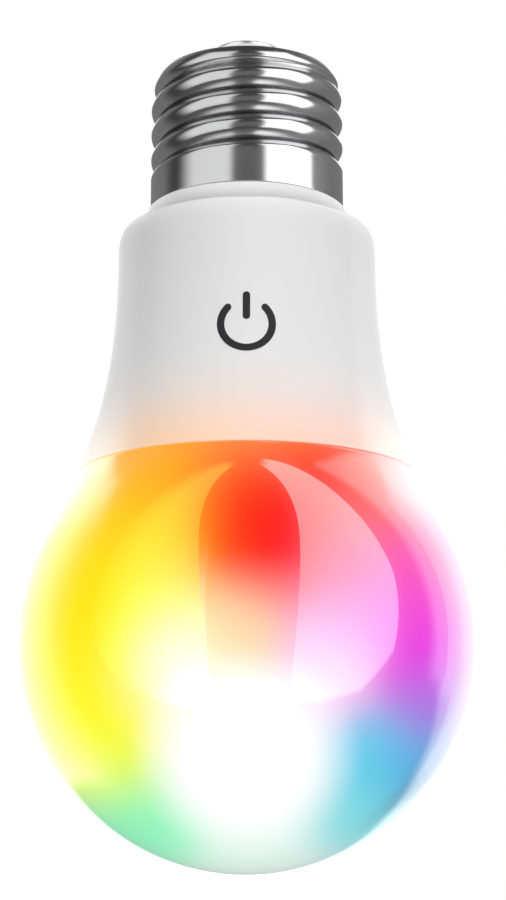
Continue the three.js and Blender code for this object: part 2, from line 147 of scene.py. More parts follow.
def refine(path, spacing):
    # adds evenly spaced points so that no step of the path is longer than spacing
    out = [path[:1]]
    for a, b in zip(path[:-1], path[1:]):
        n = max(1, int(math.ceil(np.linalg.norm(b - a) / spacing)))
        out.append(a + (b - a) * (np.arange(1, n + 1) / n)[:, None])
    return np.concatenate(out)

class Value:
    # wraps one shader socket, so that an expression on values adds its Math nodes
    def __init__(self, shade, socket):
        self.shade, self.socket = shade, socket

    def __add__(self, other):
        return self.shade.math("ADD", self, other)

    def __radd__(self, other):
        return self.shade.math("ADD", other, self)

    def __sub__(self, other):
        return self.shade.math("SUBTRACT", self, other)

    def __rsub__(self, other):
        return self.shade.math("SUBTRACT", other, self)

    def __mul__(self, other):
        return self.shade.math("MULTIPLY", self, other)

    def __rmul__(self, other):
        return self.shade.math("MULTIPLY", other, self)

    def __truediv__(self, other):
        return self.shade.math("DIVIDE", self, other)

    def __rtruediv__(self, other):
        return self.shade.math("DIVIDE", other, self)

    def __pow__(self, other):
        return self.shade.math("POWER", self, other)

    def __neg__(self):
        return self.shade.math("MULTIPLY", self, -1.0)

def linear(r, g, b):
    # display colour, 0 to 255, to the linear colour that shaders use
    c = np.array([r, g, b], float) / 255
    c = np.where(c <= 0.04045, c / 12.92, ((c + 0.055) / 1.055) ** 2.4)
    return (float(c[0]), float(c[1]), float(c[2]), 1.0)

class Tree:
    # a node tree and the ways to add nodes to it
    def __init__(self, tree):
        self.tree = tree
        tree.nodes.clear()

    def node(self, kind, settings=None, sockets=None):
        made = self.tree.nodes.new(kind)
        for key, value in (settings or {}).items():
            setattr(made, key, value)
        for key, value in (sockets or {}).items():
            self.feed(made.inputs[key], value)
        return made

    def feed(self, target, value):
        if isinstance(value, Value):
            value = value.socket
        if isinstance(value, bpy.types.NodeSocket):
            self.tree.links.new(value, target)
        else:
            target.default_value = value

    def math(self, operation, *values):
        made = self.node("ShaderNodeMath", {"operation": operation}, dict(enumerate(values)))
        return Value(self, made.outputs[0])

    def length(self, *values):
        # square root of the sum of the squares
        total = values[0] * values[0]
        for value in values[1:]:
            total = total + value * value
        return self.math("SQRT", total)

    def place(self):
        # object coordinates in millimetres
        made = self.node("ShaderNodeTexCoord")
        split = self.node("ShaderNodeSeparateXYZ", sockets={0: made.outputs["Object"]})
        return [Value(self, split.outputs[i]) * (1 / mm) for i in range(3)]

    def step(self, value, low, high):
        # smooth rise from 0 at low to 1 at high
        made = self.node("ShaderNodeMapRange", {"interpolation_type": "SMOOTHSTEP"},
                         {"Value": value, "From Min": low, "From Max": high, "To Min": 0.0, "To Max": 1.0})
        return Value(self, made.outputs[0])

    def band(self, value, half, edge=0.04):
        # 1 while the value is within half of zero, 0 beyond it
        return 1 - self.step(self.math("ABSOLUTE", value), half - edge, half + edge)

    def wave(self, value, period):
        # 0 to 1 and back once a period
        return 0.5 + 0.5 * self.math("COSINE", value * (2 * math.pi / period))

    def noise(self, scale, detail=3.0, roughness=0.5, stretch=(1, 1, 1)):
        # scale is in features per metre; stretch multiplies it along each axis
        coords = self.node("ShaderNodeTexCoord")
        mapped = self.node("ShaderNodeMapping",
                           sockets={"Vector": coords.outputs["Object"], "Scale": stretch})
        made = self.node("ShaderNodeTexNoise", sockets={"Vector": mapped.outputs[0], "Scale": scale,
                                                        "Detail": detail, "Roughness": roughness})
        return Value(self, made.outputs["Fac"])

    def mix(self, factor, first, second, blend="MIX"):
        made = self.node("ShaderNodeMix", {"data_type": "RGBA", "blend_type": blend},
                         {0: factor, 6: first, 7: second})
        return made.outputs[2]

class Shade(Tree):
    # one material: a Principled shader and the nodes that feed it. Fixed values go on its own sockets.
    def __init__(self, name, **fixed):
        self.material = bpy.data.materials.new(name)
        self.material.use_nodes = True
        super().__init__(self.material.node_tree)
        self.surface = self.node("ShaderNodeBsdfPrincipled")
        self.output = self.node("ShaderNodeOutputMaterial", sockets={"Surface": self.surface.outputs[0]})
        for key, value in fixed.items():
            self.surface.inputs[key.replace("_", " ")].default_value = value

    def set(self, socket, value):
        self.feed(self.surface.inputs[socket], value)

    def bump(self, height, strength, distance):
        made = self.node("ShaderNodeBump", sockets={"Height": height, "Strength": strength,
                                                    "Distance": distance * mm})
        self.set("Normal", made.outputs[0])

    def paint(self, mask, colour):
        # lays a colour over the tone where the mask is 1
        self.tone = self.mix(mask, self.tone, colour)
        self.set("Base Color", self.tone)

def dress(piece, material):
    piece.data.materials.clear()
    piece.data.materials.append(material)

def finishPiece(piece, material, node=None):
    dress(piece, material)
    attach(piece, "root")
    if node:
        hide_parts(node)
    return piece

def span(node):
    # lowest and highest corner of a CAD node, in millimetres
    low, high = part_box(node)
    return np.array(low) / mm, np.array(high) / mm

def middleOf(node):
    low, high = span(node)
    return (low + high) / 2, (high - low) / 2

contactLow, contactHigh = span("centre_contact")
shellLow, shellHigh = span("screw_shell")
glassLow, glassHigh = span("cap_insulator")
housingLow, housingHigh = span("housing")
globeLow, globeHigh = span("diffuser")

globeRadius = globeHigh[0]
globeCentre = globeLow[2] + globeRadius
threadRadius = shellHigh[0]
seam = housingLow[2]
collarTop = shellLow[2] - 0.3     # the cap ends this far above the collar

cameraRig = {
    "distance": 300.0,       # in front of the bulb's axis
    "height": -126.55,
    "pitch": 13.0,           # degrees, looking up
    "aside": 0.84,
    "focalLength": 91.88, "sensor": 36,
}

def makeCamera(rig):
    data = bpy.data.cameras.new("camera")
    data.lens = rig["focalLength"]
    data.sensor_width = rig["sensor"]
    camera = bpy.data.objects.new("camera", data)
    camera.location = (rig["aside"] * mm, -rig["distance"] * mm, rig["height"] * mm)
    camera.rotation_euler = (math.radians(90 + rig["pitch"]), 0, 0)
    bpy.context.scene.collection.objects.link(camera)
    bpy.context.scene.camera = camera

makeCamera(cameraRig)
print("camera made")

shellLook = {
    "wall": 0.35,
    "pitch": 25.4 / 7,       # seven turns to the inch
    "depth": 1.1,            # of the groove
    "crownDraw": 1.5, "crownHeight": 5.1,   # how far the top is drawn in, and over which height
    "skirt": 6.2,            # lower edge up to the lowest groove
    "reach": 0.2,            # the rolled edge comes this much closer to the collar than the plain solid
    "fade": 1.6,             # the groove runs out over this height at both ends
    "runIn": 0.3,            # from the shell's top to where the groove starts
    "cusp": 0.07,            # how blunt the groove's root is
    "rows": 240, "innerRows": 40, "steps": 288,
}

def smooth(t):
    t = np.clip(t, 0, 1)
    return t * t * (3 - 2 * t)

def grooveSpan(look):
    # heights of the lowest groove at the front, and of the groove's start and end
    lowest = shellLow[2] + look["skirt"]
    return lowest, shellHigh[2] - look["fade"] - look["runIn"], lowest - look["pitch"] / 3

def screwShell(look):
    # Radius = crown curve minus a groove that climbs one pitch for each turn, right-handed. The groove is
    # 1 - |sin|, softened at its root by the cusp value: the crests are broad and round, the roots narrow.
    top, bottom = shellHigh[2], shellLow[2] - look["reach"]
    lowest, start, end = grooveSpan(look)
    blunt, full = look["cusp"], math.hypot(1, look["cusp"])

    def outer(h):
        rise = np.clip((top - h) / look["crownHeight"], 0, 1)
        return threadRadius - look["crownDraw"] * (1 - np.sqrt(1 - (1 - rise) ** 2))

    def groove(r, h, a):
        a = np.where(a > np.pi, a - 2 * np.pi, a)
        turn = (h - lowest) / look["pitch"] - a / (2 * np.pi)
        wave = 1 - (np.hypot(np.sin(np.pi * turn), blunt) - blunt) / (full - blunt)
        upper = smooth((start + look["fade"] / 2 - h) / look["fade"])
        lower = smooth((h - end + look["fade"] / 2) / look["fade"])
        return r - look["depth"] * wave * upper * lower

    edge = look["wall"] / 2
    h = np.linspace(top - edge, bottom + edge, look["rows"])
    outside = np.stack([outer(h), h], -1)
    t = np.linspace(0, np.pi, 7)[1:-1]
    foot = np.stack([outer(bottom) - edge + edge * np.cos(t), bottom + edge - edge * np.sin(t)], -1)
    head = np.stack([outer(top - edge) - edge - edge * np.cos(t), top - edge + edge * np.sin(t)], -1)
    h = np.linspace(bottom + edge, top - edge, look["innerRows"])
    inside = np.stack([outer(h) - look["wall"], h], -1)
    profile = np.concatenate([outside, foot, inside, head])
    return revolve("screwShell", profile, look["steps"], closed=True, shape=groove)

def plateMetal(look):
    # nickel plate: fine turning lines round the axis, soft blotches, and painted shade along the root of the
    # thread, which follows the same climb as the groove: height over pitch less the turn
    shade = Shade("nickelPlate", Metallic=1.0)
    x, y, z = shade.place()
    blotch = shade.noise(260, 4, 0.6)
    lines = shade.noise(900, 2, 0.6, (0.05, 0.05, 6))
    lowest, start, end = grooveSpan(look)
    turn = (z - lowest) / look["pitch"] - shade.math("ARCTAN2", x, -y) / (2 * math.pi)
    root = shade.math("COSINE", turn * (2 * math.pi))
    grooved = shade.step(z, end - 0.3, end + 1.2) * (1 - shade.step(z, start - 1.2, start + 0.3))
    # painted shade: the root of the groove is darkened nearly to black, and made rougher
    rootShade = shade.step(root, 0.86, 0.995) * grooved
    tint = shade.mix(blotch, (0.55, 0.55, 0.56, 1), (0.66, 0.66, 0.66, 1))
    shade.set("Base Color", shade.mix(rootShade * 0.88, tint, (0.03, 0.03, 0.033, 1)))
    shade.set("Roughness", 0.12 + 0.06 * blotch + 0.04 * lines + 0.15 * rootShade)
    shade.bump(lines * 0.6 + blotch * 0.4, 0.08, 0.02)
    return shade.material

contactLook = {
    "flat": 2.6, "round": 0.8,       # radius of the flat tip, and the drop of the rounded shoulder round it
    "rimDrop": 1.1, "stem": 1.6,     # tip to the rim's underside, and the stem's radius
    "steps": 160,
}
insulatorLook = {"hole": 1.9, "lip": 5.8, "rimDrop": 0.8, "steps": 160}

def centreContact(look):
    # pressed disc: flat tip, elliptical shoulder, straight rim and the stem that carries the wire
    low, top = contactLow[2], contactHigh[2]
    radius = contactHigh[0]
    rim = top - look["rimDrop"]
    stem = look["stem"]
    t = np.linspace(0, np.pi / 2, 14)
    shoulder = np.stack([look["flat"] + (radius - look["flat"]) * np.sin(t),
                         top - look["round"] * (1 - np.cos(t))], -1)
    face = np.stack([np.linspace(0, look["flat"], 8), np.full(8, top)], -1)[:-1]
    under = roundedPath([(radius, rim, 0), (stem, rim, 0.2), (stem, low, 0.25), (0, low, 0)])
    return revolve("centreContact", np.concatenate([face, shoulder, under]), look["steps"])

def capInsulator(look):
    # black glass: a shallow cone with a fire-polished lip round the contact
    low, top = glassLow[2], glassHigh[2]
    radius = glassHigh[0]
    corners = [(look["hole"], top, 0), (look["lip"], top, 0.5), (radius - 0.2, low + look["rimDrop"], 0.4),
               (radius - 0.4, low, 0.15), (look["hole"], low, 0)]
    return revolve("capInsulator", refine(roundedPath(corners), 0.6), look["steps"], closed=True)

def blackGlass():
    shade = Shade("blackGlass", Coat_Weight=0.6)
    swirl = shade.noise(420, 4, 0.55)
    shade.set("Base Color", shade.mix(swirl, (0.008, 0.008, 0.01, 1), (0.03, 0.028, 0.035, 1)))
    shade.set("Roughness", 0.12 + 0.16 * swirl)
    shade.bump(swirl, 0.2, 0.08)
    return shade.material

def contactMetal():
    # brighter plate with a faint ring pattern pressed in by the lampholder's spring
    shade = Shade("contactMetal", Metallic=0.85)
    x, y, z = shade.place()
    rings = shade.math("SINE", shade.length(x, y) * 9.0)
    blotch = shade.noise(700, 4, 0.6)
    shade.set("Base Color", shade.mix(blotch, (0.88, 0.88, 0.87, 1), (0.96, 0.96, 0.95, 1)))
    shade.set("Roughness", 0.22 + 0.14 * blotch)
    shade.bump(rings * 0.3 + blotch, 0.12, 0.03)
    return shade.material

shell = finishPiece(screwShell(shellLook), plateMetal(shellLook), "screw_shell")
contact = finishPiece(centreContact(contactLook), contactMetal(), "centre_contact")
insulator = finishPiece(capInsulator(insulatorLook), blackGlass(), "cap_insulator")
print("screw cap made")

bodyLook = {
    "collarLedge": 0.35,     # the collar stands out from the thread by this much at its top
    "collarHeight": 3.0, "collarFlare": 1.25, "collarRound": 0.35,
    "ringWidth": 0.45, "ringDip": 0.25,     # flat ring outside the collar, and the dip that sets it off
    "shoulderRadius": 17.5, "shoulderRound": 4.0, "shoulderFlat": 0.3,
    "shoulderSquare": 0.58,  # 1 is an ellipse, less is fuller
    "flankPull": 23.0, "neckPull": 9.0,     # how straight the flank leaves the shoulder and meets the globe
    "tangentAngle": 23.85,   # degrees above the globe's middle where the round takes over
    "wall": 1.6, "neckWall": 1.3, "fitGap": 0.3, "globeWall": 1.5, "lipWall": 1.2,
    "seamRound": 0.15, "seamGap": 0.06, "rimRound": 0.12,
    "steps": 256,
}

def flankCurve(look, count=400):
    # cubic curve from the shoulder to the circle where the globe's round takes over
    start = collarTop - look["collarHeight"] - look["shoulderRound"] - look["shoulderFlat"]
    rise = globeRadius * math.sin(math.radians(look["tangentAngle"]))
    reach = math.sqrt(globeRadius ** 2 - rise ** 2)
    slope = rise / reach
    p0 = np.array([look["shoulderRadius"], start])
    p1 = p0 - [0, look["flankPull"]]
    p3 = np.array([reach, globeCentre + rise])
    p2 = p3 + [-slope * look["neckPull"], look["neckPull"]]
    t = np.linspace(0, 1, count)[:, None]
    return (1 - t) ** 3 * p0 + 3 * t * (1 - t) ** 2 * p1 + 3 * t * t * (1 - t) * p2 + t ** 3 * p3

flank = flankCurve(bodyLook)

def flankAt(h, inset=0.0):
    # radius of the flank at a height, moved in so that the wall has the given thickness
    slope = np.gradient(flank[:, 0], flank[:, 1])
    r = np.interp(-np.asarray(h), -flank[:, 1], flank[:, 0])
    s = np.interp(-np.asarray(h), -flank[:, 1], slope)
    return r - inset * np.sqrt(1 + s * s)

def roundOfGlobe(look, inset, count):
    # circle arc from the tangent circle down to the axis
    start = math.pi / 2 - math.radians(look["tangentAngle"])
    a = np.linspace(start, math.pi, count)
    r = (globeRadius - inset) * np.sin(a)
    r[-1] = 0
    return np.stack([r, globeCentre + (globeRadius - inset) * np.cos(a)], -1)

def housingShell(look):
    # one moulded shell: neck inside the cap, collar, rounded shoulder and flared flank, with an inner wall
    neck = threadRadius - shellLook["depth"] - shellLook["wall"] - look["fitGap"]
    neckInner = neck - look["neckWall"]
    collar = threadRadius + look["collarLedge"]
    foot = collar + look["collarFlare"]
    edge = foot + look["ringWidth"]
    start = flank[0, 1]
    shoulder = collarTop - look["collarHeight"]
    dip = shoulder - look["ringDip"]
    collarLine = roundedPath([(neck, housingHigh[2], 0), (neck, collarTop, 0.15),
                              (collar, collarTop, look["collarRound"]), (foot - 0.3, dip, 0.15),
                              (edge - 0.2, dip, 0.1), (edge, shoulder, 0)], 10)
    # shoulder: radius grows with sin to a power below 1, height falls with 1 - cos to the same power
    t = np.linspace(0, np.pi / 2, 24)
    square = look["shoulderSquare"]
    rounded = np.stack([edge + (look["shoulderRadius"] - edge) * np.sin(t) ** square,
                        shoulder - (shoulder - start) * (1 - np.cos(t) ** square)], -1)
    lip = look["seamRound"]
    h = np.linspace(start, seam + lip, 70)[1:]
    outside = np.concatenate([refine(np.concatenate([collarLine[:-1], rounded]), 0.6),
                              np.stack([flankAt(h), h], -1)])
    t = np.linspace(0, np.pi / 2, 6)[1:]
    lower = np.stack([flankAt(seam) - lip * (1 - np.cos(t)), seam + lip - lip * np.sin(t)], -1)
    h = np.linspace(seam, start, 40)
    inside = np.stack([flankAt(h, look["wall"]), h], -1)
    throat = np.array([[neckInner + look["wall"], shoulder - look["wall"]], [neckInner, collarTop - 0.6],
                       [neckInner, housingHigh[2]]])
    profile = np.concatenate([outside, lower, inside, throat])
    return revolve("housingShell", profile, look["steps"], closed=True, sharpAngle=50)

def globeShell(look):
    # opal shell: rim at the seam, flank and round outside, the same walls inset inside, and the plug-in lip
    rim = seam - look["seamGap"]
    lipTop = globeHigh[2]
    clear = look["wall"] + look["fitGap"]
    curve = look["rimRound"]
    h = np.linspace(rim - curve, flank[-1, 1], 36)
    t = np.linspace(0, np.pi / 2, 5)[:-1]
    edge = np.stack([flankAt(rim) - curve * (1 - np.sin(t)), rim - curve + curve * np.cos(t)], -1)
    outside = np.concatenate([edge, np.stack([flankAt(h), h], -1), roundOfGlobe(look, 0, 140)[1:]])
    h = np.linspace(rim - 1, flank[-1, 1], 14)
    inside = np.concatenate([np.stack([flankAt(h, look["globeWall"]), h], -1),
                             roundOfGlobe(look, look["globeWall"], 70)[1:]])
    lipOut, lipBase = flankAt(lipTop, clear), flankAt(rim, clear)
    lip = roundedPath([(lipBase - look["lipWall"], rim, 0), (lipOut - look["lipWall"], lipTop, 0.2),
                       (lipOut, lipTop, 0.2), (lipBase, rim, 0)], 4)
    piece = revolve("globeShell", np.concatenate([inside[::-1], lip, outside]), look["steps"], sharpAngle=50)
    return roundShading(piece)

def roundShading(piece):
    # the zone under the seam is shaded as a ball: its normals point away from the globe's middle
    mesh = piece.data
    points = np.zeros(len(mesh.vertices) * 3, np.float32)
    mesh.vertices.foreach_get("co", points)
    points = points.reshape(-1, 3) / mm
    normals = np.zeros(len(mesh.vertices) * 3, np.float32)
    mesh.vertex_normals.foreach_get("vector", normals)
    normals = normals.reshape(-1, 3)
    radius = np.hypot(points[:, 0], points[:, 1])
    zone = ((points[:, 2] > flank[-1, 1]) & (points[:, 2] < seam - 0.2)
            & (radius > flankAt(points[:, 2]) - 0.1))
    out = points - [0, 0, globeCentre]
    out /= np.linalg.norm(out, axis=1)[:, None]
    normals[zone] = out[zone]
    mesh.normals_split_custom_set_from_vertices(normals.tolist())
    return piece

# The lit globe. Each coloured light has a place (u across, v up, in shares of the globe's radius from its
# middle), a reach and a display colour; the white light lies over them.
glowLook = {
    "tilt": 13.0,            # degrees: the pattern faces a little down at the front
    "lights": [
        (-0.62, 0.20, 0.34, (255, 228, 4)), (-0.64, -0.20, 0.30, (254, 250, 2)),
        (-0.58, -0.46, 0.18, (236, 252, 60)), (-0.44, -0.70, 0.23, (130, 242, 182)),
        (-0.46, -0.74, 0.20, (120, 242, 186)),
        (0.02, -0.86, 0.30, (222, 243, 233)), (0.46, -0.64, 0.20, (112, 214, 222)),
        (0.52, -0.36, 0.18, (84, 208, 234)), (0.70, -0.44, 0.20, (50, 156, 220)),
        (0.74, -0.20, 0.16, (160, 100, 220)), (0.70, 0.06, 0.27, (226, 12, 222)),
        (0.66, 0.36, 0.22, (248, 74, 182)), (0.54, 0.64, 0.20, (252, 110, 84)),
        (0.38, 0.42, 0.18, (254, 84, 136)), (0.36, 0.12, 0.20, (252, 140, 208)),
        (0.07, 0.64, 0.26, (255, 0, 0)), (0.09, 0.54, 0.24, (255, 4, 2)),
        (0.08, 0.58, 0.24, (255, 0, 0)), (0.09, 0.57, 0.23, (255, 0, 0)),
        (0.02, 0.94, 0.22, (252, 164, 84)), (-0.32, 0.78, 0.24, (253, 170, 30)),
        (-0.36, 0.48, 0.24, (254, 204, 22)), (-0.04, 0.12, 0.19, (254, 204, 150)),
        (-0.28, -0.06, 0.20, (255, 252, 226)), (0.33, -0.06, 0.17, (250, 222, 248)),
    ],
    "core": (0.0, -0.38), "coreFull": 0.20, "coreGone": 0.50,
    "paleSide": (14.0, 25.0), "paleDepth": 12.0,   # both ends of the seam are drowned in pale light
    "paleLeft": (253, 226, 150), "paleRight": (246, 196, 206),
    "dimRim": (0.79, 0.94), "dimShare": 0.5,       # the glow is weaker towards the right rim
    "strength": 1.1,
    "base": 0.02,            # the opal's own colour is this share of the glow's
}

def litOpal(look):
    # Every light's share of the colour is a bell curve of the distance to it, over the sum of all the shares.
    # The pattern comes from u and v alone, so it carries on round the back.
    shade = Shade("litOpal", Roughness=0.24, Coat_Weight=1.0, Coat_Roughness=0.015, Coat_IOR=1.72, IOR=1.35)
    x, y, z = shade.place()
    tilt = math.radians(look["tilt"])
    u = x / globeRadius
    v = (z - globeCentre) * (math.cos(tilt) / globeRadius) - y * (math.sin(tilt) / globeRadius)
    colour, total = None, None
    for across, up, reach, tint in look["lights"]:
        du, dv = u - across, v - up
        share = shade.math("EXPONENT", (du * du + dv * dv) * (-1 / reach ** 2)) + 0.0001
        total = share if total is None else total + share
        colour = linear(*tint) if colour is None else shade.mix(share / total, colour, linear(*tint))
    away = shade.length(u - look["core"][0], v - look["core"][1])
    core = 1 - shade.step(away, look["coreFull"], look["coreGone"])
    colour = shade.mix(core, colour, (1, 1, 1, 1))
    ends = shade.step(shade.math("ABSOLUTE", x), *look["paleSide"])
    ends = ends * shade.step(z, seam - look["paleDepth"], seam)
    pale = shade.mix(shade.step(x, -5.0, 5.0), linear(*look["paleLeft"]), linear(*look["paleRight"]))
    colour = shade.mix(ends, colour, pale)
    dim = look["dimShare"] * shade.step(shade.length(u, v), *look["dimRim"]) * shade.step(u, 0.1, 0.6)
    dim = dim * shade.step(-v, -0.7, -0.4) * shade.step(v, -0.8, -0.55)
    colour = shade.mix(dim, colour, (0, 0, 0, 1))
    shade.set("Base Color", shade.mix(1.0, colour, (look["base"],) * 3 + (1,), "MULTIPLY"))
    shade.set("Emission Color", colour)
    shade.set("Emission Strength", look["strength"])
    shade.set("Roughness", 0.2 + 0.08 * shade.noise(3500, 2, 0.5))
    return shade.material

plasticLook = {
    "tones": ((236, 236, 237), (242, 242, 242)),
    "footShadeTone": (192, 192, 194), "footReach": 14.75,   # painted shade: the collar's foot is darker inside this radius
    "glowFrom": 46.0, "glowPast": 3.0,   # the warm light starts at this depth and is full just past the seam
    "warm": ((246, 218, 178), (243, 214, 198)), "ends": (255, 246, 236),
    "leak": ((1, 0.2, 0.0, 1), (1, 0.12, 0.04, 1)), "leakEnds": (1.7, 1.5, 1.25, 1), "leakStrength": 0.23,
}

def whiteHousing(look):
    # satin white plastic with a fine moulded grain, warmed near the globe by the light that leaks into it:
    # yellow on the left, pink on the right, near white at both ends of the seam
    shade = Shade("whiteHousing", IOR=1.46, Coat_Weight=0.7, Coat_Roughness=0.1)
    x, y, z = shade.place()
    grain = shade.noise(5200, 2, 0.5)
    plain = shade.mix(shade.noise(60, 3, 0.5), *(linear(*tone) for tone in look["tones"]))
    foot = collarTop - bodyLook["collarHeight"]
    # painted shade: the collar darkens from near its top down to its foot, inside footReach
    shadow = (1.0 - shade.step(z, foot, collarTop - 0.3)) * shade.step(z, foot - 0.3, foot - 0.1)
    shadow = shadow * (1.0 - shade.step(shade.length(x, y), look["footReach"], look["footReach"] + 0.25))
    plain = shade.mix(shadow, plain, linear(*look["footShadeTone"]))
    glow = shade.step(-z, look["glowFrom"], -seam + look["glowPast"]) ** 1.5
    side = shade.step(x, -16.0, 14.0)
    ends = shade.step(shade.math("ABSOLUTE", x), 12.0, 22.0)
    warm = shade.mix(ends, shade.mix(side, *(linear(*tone) for tone in look["warm"])), linear(*look["ends"]))
    leak = shade.mix(ends, shade.mix(side, *look["leak"]), look["leakEnds"])
    shade.set("Base Color", shade.mix(glow, plain, warm))
    shade.set("Emission Color", shade.mix(glow, (0, 0, 0, 1), leak))
    shade.set("Emission Strength", look["leakStrength"])
    shade.set("Roughness", 0.34 + 0.1 * grain)
    shade.bump(grain, 0.06, 0.03)
    return shade.material

housing = finishPiece(housingShell(bodyLook), whiteHousing(plasticLook), "housing")
globe = finishPiece(globeShell(bodyLook), litOpal(glowLook), "diffuser")
print("housing and globe made")

symbolLook = {
    "height": -44.95,        # middle of the symbol
    "radius": 3.3, "stroke": 0.95,
    "opening": 38.0,         # degrees on each side of the bar
    "barLow": 0.6, "barHigh": 4.4,
    "film": 0.04, "root": 0.02,   # the ink stands proud by the first and reaches in by the second
}

def inkStroke(name, line, look):
    # A flat stroke with round ends along a line of (x, z) points, laid on the housing: for each point of the
    # grid (along, across) the depth is y = -sqrt(r(z)^2 - x^2), and two layers make it a closed film.
    line = np.asarray(line, float)
    ahead = np.gradient(line, axis=0)
    ahead /= np.linalg.norm(ahead, axis=1)[:, None]
    side = np.stack([-ahead[:, 1], ahead[:, 0]], -1)
    run = np.concatenate([[0], np.cumsum(np.linalg.norm(np.diff(line, axis=0), axis=1))])
    half = look["stroke"] / 2
    fromEnd = np.minimum(run, run[-1] - run)
    width = half * np.sqrt(1 - np.clip(1 - fromEnd / half, 0, 0.995) ** 2)
    across = np.linspace(-1, 1, 9)
    flat = line[:, None] + side[:, None] * (width[:, None] * across[None])[..., None]
    x, z = flat[..., 0], flat[..., 1]
    r = flankAt(z)
    layers = [np.stack([x, -np.sqrt((r + lift) ** 2 - x * x), z], -1)
              for lift in (look["film"], -look["root"])]
    loop = np.concatenate([layers[0], layers[1][:, ::-1]], 1)
    rows, cols = x.shape
    quads = ringGrid(rows, cols * 2)
    capCols = np.arange(cols - 1)
    ends = []
    for row, flip in ((0, 1), (rows - 1, -1)):
        base = row * cols * 2
        quad = np.stack([base + capCols, base + capCols + 1, base + 2 * cols - 2 - capCols,
                         base + 2 * cols - 1 - capCols], -1)
        ends.append(quad[:, ::flip])
    return makeMesh(name, loop.reshape(-1, 3), np.concatenate([quads] + ends))

def ink():
    shade = Shade("symbolInk", IOR=1.5)
    grain = shade.noise(6000, 3, 0.6)
    shade.set("Base Color", shade.mix(grain, (0.018, 0.018, 0.02, 1), (0.04, 0.04, 0.043, 1)))
    shade.set("Roughness", 0.42 + 0.15 * grain)
    shade.bump(grain, 0.08, 0.02)
    return shade.material

def powerSymbol(look):
    # open ring and a bar, the common sign for switching on and off
    inkMaterial = ink()
    gap = math.radians(look["opening"])
    a = np.linspace(math.pi / 2 + gap, 2.5 * math.pi - gap, 120)
    ring = np.stack([look["radius"] * np.cos(a), look["height"] + look["radius"] * np.sin(a)], -1)
    h = np.linspace(look["barLow"], look["barHigh"], 40) + look["height"]
    bar = np.stack([np.zeros(40), h], -1)
    for name, line in (("symbolRing", ring), ("symbolBar", bar)):
        finishPiece(inkStroke(name, line, look), inkMaterial)

powerSymbol(symbolLook)
print("symbol made")

innerLook = {                # darkest and lightest tone of each finish, as linear colours
    "sink": ((0.50, 0.51, 0.53), (0.66, 0.67, 0.69)), "pad": ((0.22, 0.30, 0.38), (0.36, 0.44, 0.52)),
    "sealant": ((0.70, 0.70, 0.69), (0.84, 0.84, 0.82)), "steel": ((0.42, 0.42, 0.44), (0.62, 0.62, 0.64)),
    "mask": ((0.80, 0.80, 0.78), (0.90, 0.90, 0.88)), "board": ((0.012, 0.10, 0.045), (0.02, 0.15, 0.06)),
    "radio": ((0.012, 0.035, 0.11), (0.02, 0.055, 0.16)),
    "sleeve": ((0.012, 0.014, 0.022), (0.03, 0.034, 0.05)),
    "epoxy": ((0.012, 0.012, 0.013), (0.03, 0.03, 0.032)), "film": ((0.62, 0.38, 0.03), (0.74, 0.48, 0.06)),
    "ferrite": ((0.028, 0.028, 0.031), (0.06, 0.06, 0.064)), "tape": ((0.74, 0.50, 0.04), (0.84, 0.62, 0.10)),
    "copper": ((0.62, 0.26, 0.12), (0.78, 0.36, 0.18)), "nylon": ((0.72, 0.70, 0.60), (0.82, 0.80, 0.70)),
    "tin": ((0.56, 0.57, 0.58), (0.74, 0.74, 0.75)), "gold": ((0.72, 0.46, 0.16), (0.86, 0.60, 0.26)),
    "live": ((0.30, 0.02, 0.012), (0.40, 0.04, 0.02)), "neutral": ((0.62, 0.62, 0.60), (0.76, 0.76, 0.74)),
    "resistor": ((0.10, 0.22, 0.12), (0.16, 0.30, 0.18)),
}

def grained(name, tones, scale, roughness, relief, metallic=0.0, stretch=(1, 1, 1), coat=0.0):
    # two tones mixed by a broad and a fine noise; the fine one also roughens and raises the surface
    shade = Shade(name, Metallic=metallic, Coat_Weight=coat)
    shade.fine = shade.noise(scale, 3, 0.6, stretch)
    shade.relief = shade.fine * 0.3
    dark, light = innerLook[tones]
    shade.tone = shade.mix(shade.noise(scale / 8, 3, 0.5) * 0.6 + shade.fine * 0.4, dark + (1,), light + (1,))
    shade.set("Base Color", shade.tone)
    shade.set("Roughness", roughness + 0.16 * shade.fine)
    shade.bump(shade.fine, 0.2, relief)
    return shade

def tracks(name, tones, pitch, colour):
    # board: tracks along the edges of squarish cells, and round pads here and there, under solder mask
    shade = grained(name, tones, 4000, 0.3, 0.02, coat=0.3)
    x, y, z = shade.place()
    grid = shade.node("ShaderNodeCombineXYZ", sockets={0: x, 1: z, 2: 0.0})
    cells = shade.node("ShaderNodeTexVoronoi", {"feature": "DISTANCE_TO_EDGE"},
                       {"Vector": grid.outputs[0], "Scale": 1 / pitch, "Randomness": 0.7})
    track = 1 - shade.step(Value(shade, cells.outputs["Distance"]), 0.05, 0.08)
    spots = shade.node("ShaderNodeTexVoronoi", {"feature": "F1"},
                       {"Vector": grid.outputs[0], "Scale": 0.6 / pitch, "Randomness": 0.9})
    pad = 1 - shade.step(Value(shade, spots.outputs["Distance"]), 0.16, 0.2)
    shade.paint(track * 0.55, colour)
    shade.paint(pad, (0.66, 0.66, 0.64, 1))
    shade.set("Metallic", pad * 0.9)
    shade.bump(track * 0.6 + pad + shade.relief, 0.5, 0.05)
    return shade

def circleOf(kind):
    # radius of the circle that the white or the colour LEDs stand on
    return float(np.hypot(*middleOf(kind + "_led_1")[0][:2]))

